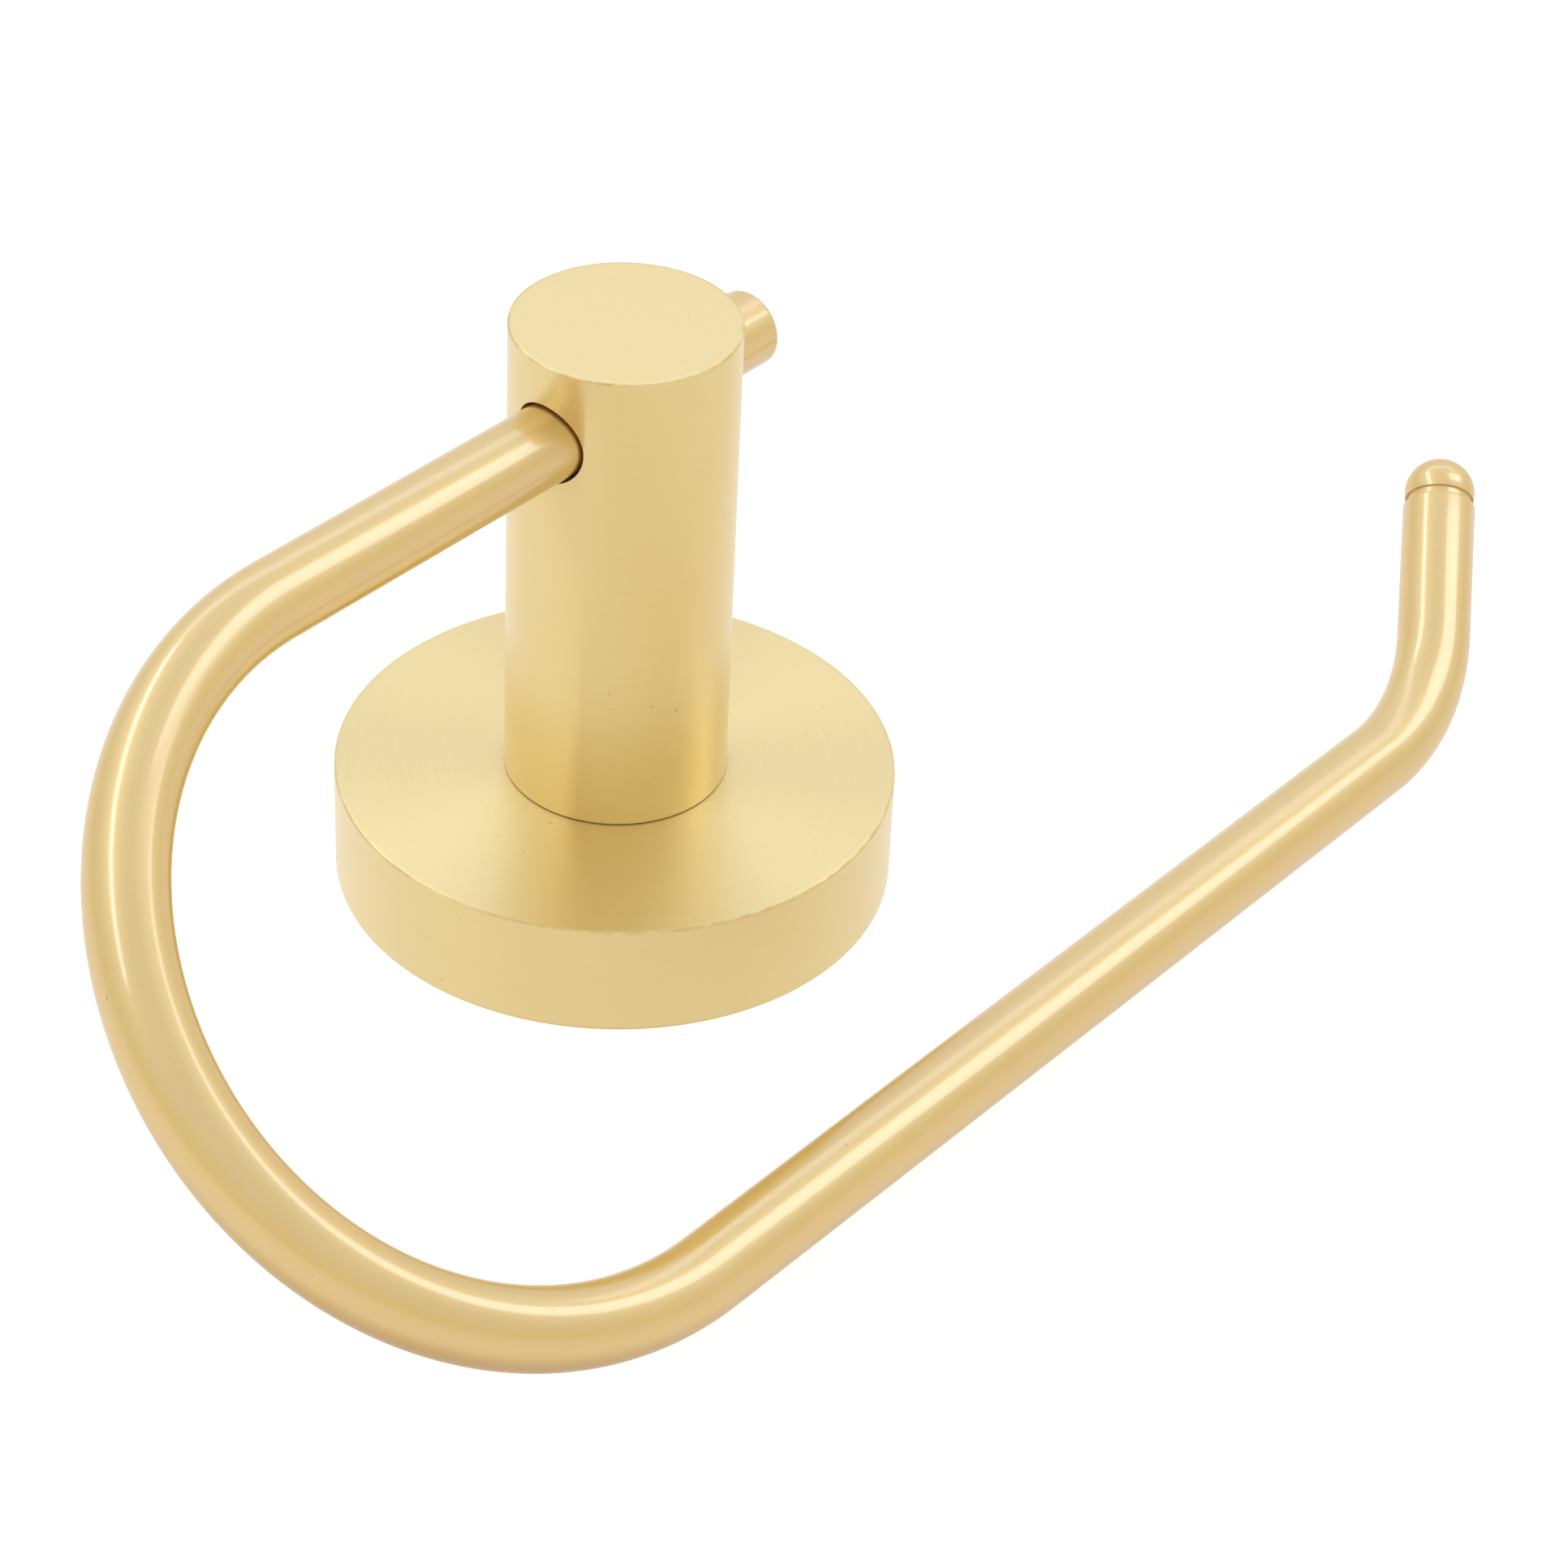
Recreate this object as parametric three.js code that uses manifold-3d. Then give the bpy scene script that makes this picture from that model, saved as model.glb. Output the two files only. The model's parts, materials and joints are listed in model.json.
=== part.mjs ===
// Wall-mounted toilet paper holder: a rosette and post carry one bent rod that the roll hangs on.
// Millimetres. The origin is the centre of the rosette's back, on the wall. +Z points out of the wall
// along the post, +X runs along the straight part of the rod towards its short end, and +Y points to
// the side of the two grub screws, which is the underside in use.

import * as THREE from 'three';
import { mergeVertices } from 'three/addons/utils/BufferGeometryUtils.js';
import Module from 'manifold-3d';

// Rosette: the turned cup that covers the bracket
const ROSETTE_D = 58.5;
const ROSETTE_HEIGHT = 12.6;
const ROSETTE_RIM_WALL = 3;
const ROSETTE_FACE_WALL = 2.6;
const ROSETTE_EDGE = 0.3;

// Post
const POST_D = 23.2;
const POST_LENGTH = 52.9;
const POST_EDGE = 0.25;
const POST_SPIGOT_D = 12;
const POST_SPIGOT_RECESS = 0.3;
const JOINT_LINE = 0.15;

// Hanger rod
const ROD_D = 8;
const ROD_AXIS_BELOW_POST_TOP = 8.7;
const ROD_SHORT_END = 19.2;
const ROD_LEAD = 48.5;
const BEND_RADIUS = 37;
const ARM_LENGTH = 109.3;
const TIP_BEND_RADIUS = 26.5;
const TIP_BEND_DEG = 43.3;
const TIP_STRAIGHT = 16;
const ARM_REST_HEIGHT = 7.5;
const ROD_EDGE = 0.6;
const ROD_CLEARANCE = 0.3;

// Ball tip, which plugs into the end of the rod
const BALL_UNDERSIZE = 0.2;
const GROOVE_WIDTH = 0.9;
const GROOVE_DEPTH = 0.45;
const BALL_CENTRE_ABOVE_GROOVE = 0.95;
const TIP_PLUG_D = 4;
const TIP_PLUG_LENGTH = 8;
const TIP_FIT = 0.3;

// Wall bracket
const BRACKET_ROOM_ABOVE = 3;
const BRACKET_ROOM_UNDER_SCREW = 1.2;
const BRACKET_RECESS_D = 38;
const BRACKET_FIT = 0.35;
const WALL_SLOT_WIDTH = 5;
const WALL_SLOT_LENGTH = 8.5;
const WALL_SLOT_OFFSET = 13.2;

// Screws and washers
const POST_SCREW_D = 6;
const POST_SCREW_ENGAGEMENT = 14;
const POST_SCREW_HEAD_D = 11;
const POST_SCREW_HEAD_HEIGHT = 3.3;
const POST_SCREW_CROWN_D = 6.6;
const POST_SCREW_CROWN_HEIGHT = 1.8;
const POST_SCREW_KEY = 4;
const POST_SCREW_KEY_DEPTH = 2;
const FLAT_WASHER_D = 18;
const FLAT_WASHER_THICKNESS = 1;
const SPRING_WASHER_WALL = 2.1;
const SPRING_WASHER_THICKNESS = 1.4;
const SPRING_WASHER_SPLIT = 0.8;
const GRUB_D = 4;
const GRUB_KEY = 2;
const GRUB_POINT_LENGTH = 1;
const ROSETTE_GRUB_LENGTH = 5;
const ROSETTE_GRUB_SUNK = 0.5;
const ROD_GRUB_SUNK = 1.3;
const SCREW_CLEARANCE = 0.3;
const SEAT_GAP = 0.05;

// Facets
const ROSETTE_FACETS = 72;
const POST_FACETS = 60;
const ROD_HALF_FACETS = 12;
const ROD_STEPS = 96;
const SMALL_FACETS = 24;
const BALL_STEPS = 12;
const SLIVER = 0.004;

// Places that follow from the sizes
const postFoot = ROSETTE_HEIGHT + JOINT_LINE;
const postTop = ROSETTE_HEIGHT + POST_LENGTH;
const rodAxisHeight = postTop - ROD_AXIS_BELOW_POST_TOP;
const rosetteCeiling = ROSETTE_HEIGHT - ROSETTE_FACE_WALL;
const screwHoleD = POST_SCREW_D + 2 * SCREW_CLEARANCE;
const grubHoleD = GRUB_D + 2 * SCREW_CLEARANCE;
const flatWasherTop = rosetteCeiling - SEAT_GAP;
const springWasherTop = flatWasherTop - FLAT_WASHER_THICKNESS - SEAT_GAP;
const headTop = springWasherTop - SPRING_WASHER_THICKNESS - SEAT_GAP;
const crown = headTop - POST_SCREW_HEAD_HEIGHT;
const bracketD = ROSETTE_D - 2 * ROSETTE_RIM_WALL - 2 * BRACKET_FIT;
const bracketHeight = rosetteCeiling - BRACKET_ROOM_ABOVE;
const bracketFloor = crown - BRACKET_ROOM_UNDER_SCREW;
const rosetteGrubHeight = bracketHeight / 2;
const rosetteGrubInner = ROSETTE_D / 2 - ROSETTE_GRUB_SUNK - ROSETTE_GRUB_LENGTH;
const bracketFlat = rosetteGrubInner - SCREW_CLEARANCE;
const rodGrubInner = ROD_D / 2 + SCREW_CLEARANCE;
const rodGrubLength = POST_D / 2 - ROD_GRUB_SUNK - rodGrubInner;
const tipBend = THREE.MathUtils.degToRad(TIP_BEND_DEG);
const hookDrop = Math.asin((rodAxisHeight - ARM_REST_HEIGHT) / (2 * BEND_RADIUS));
// How far a cutter runs past the face it opens
const PAST = 1;

const wasm = await Module();
wasm.setup();

// A closed geometry as a solid that can be cut and joined
function toSolid(geometry) {
  const bare = geometry.clone();
  bare.deleteAttribute('normal');
  bare.deleteAttribute('uv');
  const welded = mergeVertices(bare, 1e-4);
  const index = welded.index.array;
  const triangles = [];
  for (let i = 0; i < index.length; i += 3) {
    const [a, b, c] = [index[i], index[i + 1], index[i + 2]];
    if (a !== b && b !== c && c !== a) triangles.push(a, b, c);
  }
  const vertProperties = new Float32Array(welded.attributes.position.array);
  const triVerts = new Uint32Array(triangles);
  return new wasm.Manifold(new wasm.Mesh({ numProp: 3, vertProperties, triVerts }));
}

// A finished solid, without the slivers that crossing cuts leave, as a named mesh with its own metal
function piece(name, solid, metal) {
  const mesh = solid.simplify(SLIVER).getMesh();
  const geometry = new THREE.BufferGeometry();
  geometry.setAttribute('position', new THREE.BufferAttribute(mesh.vertProperties, 3));
  geometry.setIndex(new THREE.BufferAttribute(mesh.triVerts, 1));
  geometry.computeVertexNormals();
  const part = new THREE.Mesh(geometry, new THREE.MeshStandardMaterial(metal));
  part.name = name;
  return part;
}

// A solid turned about the Z axis from a closed [radius, height] outline, drawn up its outer side
function turned(outline, facets) {
  const points = outline.map(([radius, height]) => new THREE.Vector2(radius, height));
  if (outline[0][0] > 0) points.push(points[0].clone());
  return toSolid(new THREE.LatheGeometry(points, facets).rotateX(Math.PI / 2));
}

// A round bar along Z, from one height to another
function bar(diameter, low, high, facets) {
  return turned([[0, low], [diameter / 2, low], [diameter / 2, high], [0, high]], facets);
}

// A six-sided bar along Z, sized across its flats
function hexBar(acrossFlats, low, high) {
  return bar(acrossFlats / Math.cos(Math.PI / 6), low, high, 6);
}

const alongX = (solid) => solid.rotate([0, 90, 0]);
const alongY = (solid) => solid.rotate([-90, 0, 0]);

const brass = { color: 0xe2cc92, metalness: 1, roughness: 0.34 };
const zincPlate = { color: 0xb9bcc0, metalness: 1, roughness: 0.45 };
const stainless = { color: 0xc4c4c2, metalness: 1, roughness: 0.3 };

// Shallow cup, with a hole in its face for the post's spigot and a cross hole in its rim
function rosette() {
  const outer = ROSETTE_D / 2;
  const inner = outer - ROSETTE_RIM_WALL;
  const hole = POST_SPIGOT_D / 2 + SCREW_CLEARANCE;
  const cup = turned([
    [inner, 0],
    [outer - ROSETTE_EDGE, 0],
    [outer, ROSETTE_EDGE],
    [outer, ROSETTE_HEIGHT - ROSETTE_EDGE],
    [outer - ROSETTE_EDGE, ROSETTE_HEIGHT],
    [hole, ROSETTE_HEIGHT],
    [hole, rosetteCeiling],
    [inner, rosetteCeiling],
  ], ROSETTE_FACETS);
  const rimHole = alongY(bar(grubHoleD, inner - PAST, outer + PAST, SMALL_FACETS));
  return piece('rosette', cup.subtract(rimHole.translate([0, 0, rosetteGrubHeight])), brass);
}

// Solid bar with a spigot that centres it in the rosette, a tapped foot and two crossing holes
function post() {
  const radius = POST_D / 2;
  const spigotEnd = rosetteCeiling + POST_SPIGOT_RECESS;
  const body = turned([
    [0, spigotEnd],
    [POST_SPIGOT_D / 2, spigotEnd],
    [POST_SPIGOT_D / 2, postFoot],
    [radius - POST_EDGE, postFoot],
    [radius, postFoot + POST_EDGE],
    [radius, postTop - POST_EDGE],
    [radius - POST_EDGE, postTop],
    [0, postTop],
  ], POST_FACETS);
  const tappedEnd = rosetteCeiling + POST_SCREW_ENGAGEMENT + PAST;
  const tapped = bar(screwHoleD, spigotEnd - PAST, tappedEnd, SMALL_FACETS);
  const rodHole = alongX(bar(ROD_D + 2 * ROD_CLEARANCE, -POST_D, POST_D, 2 * SMALL_FACETS));
  const grubHole = alongY(bar(grubHoleD, 0, POST_D, SMALL_FACETS));
  const crossing = rodHole.add(grubHole).translate([0, 0, rodAxisHeight]);
  return piece('post', body.subtract(tapped).subtract(crossing), brass);
}

// One bend of the rod: an arc in the hook's plane
class BendCurve extends THREE.Curve {
  constructor(centre, radius, startAngle, sweep) {
    super();
    Object.assign(this, { centre, radius, startAngle, sweep });
  }

  getPoint(t, target = new THREE.Vector3()) {
    const angle = this.startAngle + this.sweep * t;
    const x = this.centre.x + this.radius * Math.cos(angle);
    const y = this.centre.y + this.radius * Math.sin(angle);
    return target.set(x, y, 0);
  }
}

// The hook lies in its own XY plane with the rod's straight part on X, and is turned in the group below.
const armY = -2 * BEND_RADIUS;
const armEnd = ARM_LENGTH - ROD_LEAD;
const tipDirection = new THREE.Vector3(Math.cos(tipBend), Math.sin(tipBend), 0);
const tipBendCentre = new THREE.Vector3(armEnd, armY + TIP_BEND_RADIUS, 0);
const tipBendEnd = new THREE.Vector3(Math.sin(tipBend), -Math.cos(tipBend), 0)
  .multiplyScalar(TIP_BEND_RADIUS)
  .add(tipBendCentre);
const rodEnd = tipDirection.clone().multiplyScalar(TIP_STRAIGHT).add(tipBendEnd);

// Moves a solid made along Z so that it starts at the rod's end and points away from it
function atRodEnd(solid) {
  return alongX(solid).rotate([0, 0, TIP_BEND_DEG]).translate(rodEnd.toArray());
}

// A ring-shaped cutter that takes the sharp edge off the end of a bar whose end is at height 0
function edgeCutter(diameter, edge) {
  const radius = diameter / 2;
  return turned([
    [radius - edge, PAST],
    [radius - edge, 0],
    [radius, -edge],
    [radius + PAST, -edge],
    [radius + PAST, PAST],
  ], SMALL_FACETS);
}

// Bent round rod, edges broken at both ends, bored at the tip for the ball's plug
function hangerRod() {
  const path = new THREE.CurvePath();
  path.add(new THREE.LineCurve3(
    new THREE.Vector3(ROD_SHORT_END, 0, 0),
    new THREE.Vector3(-ROD_LEAD, 0, 0),
  ));
  const bendCentre = new THREE.Vector3(-ROD_LEAD, -BEND_RADIUS, 0);
  path.add(new BendCurve(bendCentre, BEND_RADIUS, Math.PI / 2, Math.PI));
  path.add(new THREE.LineCurve3(
    new THREE.Vector3(-ROD_LEAD, armY, 0),
    new THREE.Vector3(armEnd, armY, 0),
  ));
  path.add(new BendCurve(tipBendCentre, TIP_BEND_RADIUS, -Math.PI / 2, tipBend));
  path.add(new THREE.LineCurve3(tipBendEnd, rodEnd));
  const section = new THREE.Shape().absarc(0, 0, ROD_D / 2, 0, 2 * Math.PI);
  const bent = toSolid(new THREE.ExtrudeGeometry(section, {
    steps: ROD_STEPS,
    curveSegments: ROD_HALF_FACETS,
    bevelEnabled: false,
    extrudePath: path,
  }));
  const shortEnd = alongX(edgeCutter(ROD_D, ROD_EDGE)).translate([ROD_SHORT_END, 0, 0]);
  const plugBore = bar(TIP_PLUG_D + 2 * TIP_FIT, -TIP_PLUG_LENGTH - TIP_FIT, PAST, SMALL_FACETS);
  const tipCut = atRodEnd(plugBore.add(edgeCutter(ROD_D, TIP_FIT)));
  return piece('hanger_rod', bent.subtract(shortEnd).subtract(tipCut), brass);
}

// Turned ball with a narrow neck, which leaves the groove, and a plug that is pressed into the rod
function ballTip() {
  const ball = (ROD_D - BALL_UNDERSIZE) / 2;
  const neck = ROD_D / 2 - GROOVE_DEPTH;
  const centre = GROOVE_WIDTH + BALL_CENTRE_ABOVE_GROOVE;
  const startAngle = -Math.asin(BALL_CENTRE_ABOVE_GROOVE / ball);
  const outline = [
    [0, -TIP_PLUG_LENGTH],
    [TIP_PLUG_D / 2, -TIP_PLUG_LENGTH],
    [TIP_PLUG_D / 2, TIP_FIT],
    [neck, TIP_FIT],
    [neck, GROOVE_WIDTH],
  ];
  for (let i = 0; i < BALL_STEPS; i += 1) {
    const angle = startAngle + (Math.PI / 2 - startAngle) * (i / BALL_STEPS);
    outline.push([ball * Math.cos(angle), centre + ball * Math.sin(angle)]);
  }
  outline.push([0, centre + ball]);
  return piece('ball_tip', atRodEnd(turned(outline, SMALL_FACETS)), brass);
}

// Dished plate with two slots for the wall screws and a flat for the rosette's grub screw
function wallBracket() {
  const radius = bracketD / 2;
  const recess = BRACKET_RECESS_D / 2;
  const plate = turned([
    [0, 0],
    [radius, 0],
    [radius, bracketHeight],
    [recess, bracketHeight],
    [recess, bracketFloor],
    [0, bracketFloor],
  ], ROSETTE_FACETS);
  const beyondFlat = new THREE.BoxGeometry(bracketD, radius, 2 * bracketHeight + PAST)
    .translate(0, bracketFlat + radius / 2, bracketHeight);
  const slotHalf = (WALL_SLOT_LENGTH - WALL_SLOT_WIDTH) / 2;
  const outline = new THREE.Shape()
    .absarc(0, slotHalf, WALL_SLOT_WIDTH / 2, 0, Math.PI)
    .absarc(0, -slotHalf, WALL_SLOT_WIDTH / 2, Math.PI, 2 * Math.PI);
  const slot = toSolid(new THREE.ExtrudeGeometry(outline, {
    depth: bracketFloor + 2 * PAST,
    curveSegments: ROD_HALF_FACETS,
    bevelEnabled: false,
  }).translate(0, 0, -PAST));
  const slots = slot.translate([WALL_SLOT_OFFSET, 0, 0]).add(slot.translate([-WALL_SLOT_OFFSET, 0, 0]));
  return piece('wall_bracket', plate.subtract(toSolid(beyondFlat)).subtract(slots), zincPlate);
}

// Flat ring about the Z axis
function ring(innerD, outerD, low, high) {
  return turned([
    [innerD / 2, low],
    [outerD / 2, low],
    [outerD / 2, high],
    [innerD / 2, high],
  ], 2 * SMALL_FACETS);
}

// Washer that spreads the screw's pull over the rosette's face
function flatWasher() {
  const low = flatWasherTop - FLAT_WASHER_THICKNESS;
  return piece('flat_washer', ring(screwHoleD, FLAT_WASHER_D, low, flatWasherTop), stainless);
}

// Split washer that keeps the screw tight
function springWasher() {
  const outerD = screwHoleD + 2 * SPRING_WASHER_WALL;
  const low = springWasherTop - SPRING_WASHER_THICKNESS;
  const coil = ring(screwHoleD, outerD, low, springWasherTop);
  const split = new THREE.BoxGeometry(outerD, SPRING_WASHER_SPLIT, SPRING_WASHER_THICKNESS + 2 * PAST)
    .translate(outerD / 2, 0, springWasherTop - SPRING_WASHER_THICKNESS / 2);
  return piece('spring_washer', coil.subtract(toSolid(split)), stainless);
}

// Button-head screw, driven up through both washers and the rosette's face into the post
function postScrew() {
  const head = POST_SCREW_HEAD_D / 2;
  const shank = POST_SCREW_D / 2;
  const end = rosetteCeiling + POST_SCREW_ENGAGEMENT;
  const body = turned([
    [0, crown],
    [POST_SCREW_CROWN_D / 2, crown],
    [head, crown + POST_SCREW_CROWN_HEIGHT],
    [head, headTop],
    [shank, headTop],
    [shank, end - POST_EDGE],
    [shank - POST_EDGE, end],
    [0, end],
  ], SMALL_FACETS);
  const socket = hexBar(POST_SCREW_KEY, crown - PAST, crown + POST_SCREW_KEY_DEPTH);
  return piece('post_screw', body.subtract(socket), stainless);
}

// Grub screw along Y with a blunt point towards the axis and a hex socket outside
function grubScrew(name, inner, length, height) {
  const radius = GRUB_D / 2;
  const screw = turned([
    [0, inner],
    [radius - GRUB_POINT_LENGTH, inner],
    [radius, inner + GRUB_POINT_LENGTH],
    [radius, inner + length],
    [0, inner + length],
  ], SMALL_FACETS);
  const socket = hexBar(GRUB_KEY, inner + length - GRUB_KEY, inner + length + PAST);
  return piece(name, alongY(screw.subtract(socket)).translate([0, 0, height]), stainless);
}

// The rod and its ball, swung down about the rod's straight part until the arm is near the wall
const hook = new THREE.Group();
hook.position.z = rodAxisHeight;
hook.rotation.x = hookDrop;
hook.add(hangerRod(), ballTip());

const group = new THREE.Group();
group.add(
  wallBracket(),
  rosette(),
  post(),
  flatWasher(),
  springWasher(),
  postScrew(),
  grubScrew('rosette_grub_screw', rosetteGrubInner, ROSETTE_GRUB_LENGTH, rosetteGrubHeight),
  grubScrew('rod_grub_screw', rodGrubInner, rodGrubLength, rodAxisHeight),
  hook,
);

export default group;
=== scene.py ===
import json
import math

import bmesh
import bpy
from mathutils import Matrix, Vector


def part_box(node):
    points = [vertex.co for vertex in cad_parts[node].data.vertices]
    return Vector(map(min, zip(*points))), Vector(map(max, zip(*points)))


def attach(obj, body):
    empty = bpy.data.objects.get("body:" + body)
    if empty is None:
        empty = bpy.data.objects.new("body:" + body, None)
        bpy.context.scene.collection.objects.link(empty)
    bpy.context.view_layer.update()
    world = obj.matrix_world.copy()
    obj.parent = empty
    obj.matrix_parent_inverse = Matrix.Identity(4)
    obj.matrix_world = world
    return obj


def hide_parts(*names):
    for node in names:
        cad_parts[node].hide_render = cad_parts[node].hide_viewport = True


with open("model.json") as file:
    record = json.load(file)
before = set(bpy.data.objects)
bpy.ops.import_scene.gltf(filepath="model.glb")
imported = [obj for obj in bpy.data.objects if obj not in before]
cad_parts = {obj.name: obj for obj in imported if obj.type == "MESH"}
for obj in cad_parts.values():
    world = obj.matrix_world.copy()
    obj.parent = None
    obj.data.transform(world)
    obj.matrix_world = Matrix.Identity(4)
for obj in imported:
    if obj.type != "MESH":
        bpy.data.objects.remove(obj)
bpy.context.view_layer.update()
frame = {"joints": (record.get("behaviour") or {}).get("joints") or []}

MM = 0.001

# --- Camera, lights and floor -------------------------------------------------------------------
# The holder lies on its rosette on a white table inside a white tent, seen from a little above.
# Three softboxes outside the tent put the long soft highlights on its brass.

CAMERA_PLACE = Vector((-295.53, -256.56, 302.03)) * MM
CAMERA_AIM = Vector((-6.45, -27.71, 26.96)) * MM
CAMERA_ROLL = math.radians(2.98)
SENSOR_WIDTH = 36.0
LENS = 107.01
CLIP_START = 0.01

TABLE_SIZE = 4.0
TABLE_WHITE = "#F4F3F1"
TABLE_GLOW = 0.6
TENT_WHITE = "#FFFFFF"
TENT_BRIGHT = "#EAEDF8"
TENT_DIM = "#E9DEBF"
TABLE_BRIGHT = "#FDFAF8"
TABLE_DIM = "#F4EEE8"
TENT_STRENGTH = 1.07
TABLE_SHADE = "#D4C4BA"
SOFTBOX_WHITE = "#E5ECFF"
TENT_BACK = math.radians(45)
TABLE_LIT_SIDE = math.radians(165)

# A band runs between two heights over the horizon, each given as its sine.
OVERHEAD_BAND = (0.05, 0.65)
OVERHEAD_GAIN = 0.75
BACK_GAIN = 0.15
SIDE_LEVEL = 0.2
TABLE_SIDE_GAIN = 0.5
BENEATH_BAND = (-0.6, -1.0)
HORIZON_BAND = (-0.15, 0.1)

SOFTBOX_DISTANCE = 0.9
# Name, azimuth and elevation in degrees, width and height in metres, and radiance.
SOFTBOXES = (
    ("left softbox", 128, 57, (1.25, 0.15), 2.4),
    ("right softbox", 326, 47, (0.32, 0.50), 1.6),
    ("back softbox", 35, 47, (1.0, 0.18), 0.72),
)


def linear(hex_colour):
    """An sRGB hex colour as linear red, green, blue and alpha."""
    channels = [int(hex_colour[i : i + 2], 16) / 255 for i in (1, 3, 5)]
    return [c / 12.92 if c <= 0.04045 else ((c + 0.055) / 1.055) ** 2.4 for c in channels] + [1.0]


def add_node(tree, kind, inputs=None, **settings):
    """Adds a node with its settings, and sets or links each input named."""
    made = tree.nodes.new(kind)
    for setting, value in settings.items():
        setattr(made, setting, value)
    for socket, value in (inputs or {}).items():
        if isinstance(value, bpy.types.NodeSocket):
            tree.links.new(value, made.inputs[socket])
        else:
            made.inputs[socket].default_value = value
    return made


def new_material(name):
    """An empty node material and its output node."""
    material = bpy.data.materials.new(name)
    material.use_nodes = True
    material.node_tree.nodes.clear()
    return material, material.node_tree, add_node(material.node_tree, "ShaderNodeOutputMaterial")


def place_camera():
    camera = bpy.data.objects.new("photographer", bpy.data.cameras.new("photographer"))
    bpy.context.scene.collection.objects.link(camera)
    camera.data.sensor_width = SENSOR_WIDTH
    camera.data.lens = LENS
    camera.data.clip_start = CLIP_START
    aim = (CAMERA_AIM - CAMERA_PLACE).to_track_quat("-Z", "Y").to_matrix().to_4x4()
    camera.matrix_world = Matrix.Translation(CAMERA_PLACE) @ aim @ Matrix.Rotation(CAMERA_ROLL, 4, "Z")
    bpy.context.scene.camera = camera


def lay_table():
    shape = bmesh.new()
    bmesh.ops.create_grid(shape, x_segments=1, y_segments=1, size=TABLE_SIZE / 2)
    mesh = bpy.data.meshes.new("table")
    shape.to_mesh(mesh)
    shape.free()
    table = bpy.data.objects.new("table", mesh)
    bpy.context.scene.collection.objects.link(table)
    material, tree, out = new_material("white table paper")
    paper = add_node(tree, "ShaderNodeBsdfPrincipled", {
        "Base Color": linear(TABLE_WHITE), "Roughness": 1.0, "Specular IOR Level": 0.0,
        "Emission Color": linear(TABLE_WHITE), "Emission Strength": TABLE_GLOW})
    tree.links.new(paper.outputs[0], out.inputs["Surface"])
    mesh.materials.append(material)
    table.visible_glossy = False


def pitch_tent():
    """The tent's light: near white overhead and behind the holder, warmer and dimmer round the
    photographer, and the table's light from below. Straight into the camera it is plain white."""
    world = bpy.data.worlds.new("white tent")
    world.use_nodes = True
    tree = world.node_tree
    way = add_node(tree, "ShaderNodeTexCoord").outputs["Generated"]
    height = add_node(tree, "ShaderNodeSeparateXYZ", {"Vector": way}).outputs["Z"]

    def facing(azimuth, gain, level):
        cosine = add_node(tree, "ShaderNodeVectorMath", {
            0: way, 1: (math.cos(azimuth), math.sin(azimuth), 0)}, operation="DOT_PRODUCT")
        return add_node(tree, "ShaderNodeMath", {
            0: cosine.outputs["Value"], 1: gain, 2: level}, operation="MULTIPLY_ADD").outputs[0]

    overhead = add_node(tree, "ShaderNodeMapRange", {
        "Value": height, "From Min": OVERHEAD_BAND[0], "From Max": OVERHEAD_BAND[1],
        "To Max": OVERHEAD_GAIN}, interpolation_type="SMOOTHSTEP")
    lightness = add_node(tree, "ShaderNodeMath", {
        0: overhead.outputs["Result"], 1: facing(TENT_BACK, BACK_GAIN, SIDE_LEVEL)},
        operation="ADD", use_clamp=True)
    upper = add_node(tree, "ShaderNodeMix", {
        "Factor": lightness.outputs[0], "A": linear(TENT_DIM), "B": linear(TENT_BRIGHT)}, data_type="RGBA")
    lower = add_node(tree, "ShaderNodeMix", {
        "Factor": facing(TABLE_LIT_SIDE, TABLE_SIDE_GAIN, TABLE_SIDE_GAIN), "A": linear(TABLE_DIM),
        "B": linear(TABLE_BRIGHT)}, data_type="RGBA")
    beneath = add_node(tree, "ShaderNodeMapRange", {
        "Value": height, "From Min": BENEATH_BAND[0], "From Max": BENEATH_BAND[1]},
        interpolation_type="SMOOTHSTEP")
    shaded = add_node(tree, "ShaderNodeMix", {
        "Factor": beneath.outputs["Result"], "A": lower.outputs["Result"], "B": linear(TABLE_SHADE)},
        data_type="RGBA")
    above = add_node(tree, "ShaderNodeMapRange", {
        "Value": height, "From Min": HORIZON_BAND[0], "From Max": HORIZON_BAND[1]},
        interpolation_type="SMOOTHSTEP")
    light = add_node(tree, "ShaderNodeMix", {
        "Factor": above.outputs["Result"], "A": shaded.outputs["Result"], "B": upper.outputs["Result"]},
        data_type="RGBA")
    seen = add_node(tree, "ShaderNodeLightPath").outputs["Is Camera Ray"]
    shown = add_node(tree, "ShaderNodeMix", {
        "Factor": seen, "A": light.outputs["Result"], "B": linear(TENT_WHITE)}, data_type="RGBA")
    tent = tree.nodes["Background"]
    tree.links.new(shown.outputs["Result"], tent.inputs["Color"])
    tent.inputs["Strength"].default_value = TENT_STRENGTH
    bpy.context.scene.world = world


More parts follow.
